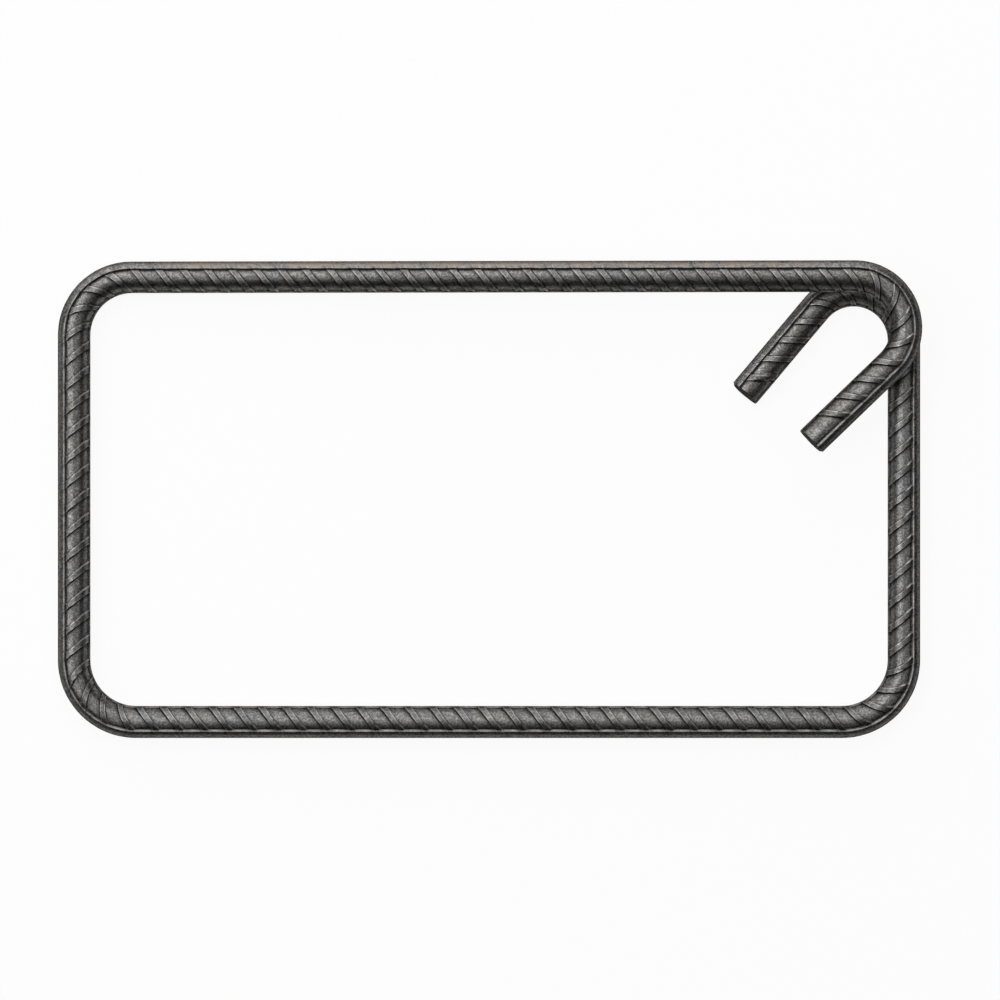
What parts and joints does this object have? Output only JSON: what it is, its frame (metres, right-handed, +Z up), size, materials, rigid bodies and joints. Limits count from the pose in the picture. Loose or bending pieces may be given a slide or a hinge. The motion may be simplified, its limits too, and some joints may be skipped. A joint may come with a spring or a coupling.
{
  "type": "rebar stirrup",
  "caption": "Closed rectangular stirrup of ribbed reinforcing bar, bent at the corners and closed at one of them by two lapped hooks whose tails point into the loop.",
  "frame": {"origin": "bottom centre of the bounding box, on the plane the loop lies on", "axes": "+X along the long legs, towards the short leg at the hooks; +Y along the short legs, towards the raised long leg; +Z up, square to the loop"},
  "size_m": [0.2908, 0.1606, 0.0221],
  "materials": {
    "mill_scale_steel": "dark satin mill scale"
  },
  "bodies": {
    "root": {"stirrup": "mill_scale_steel"}
  },
  "joints": []
}
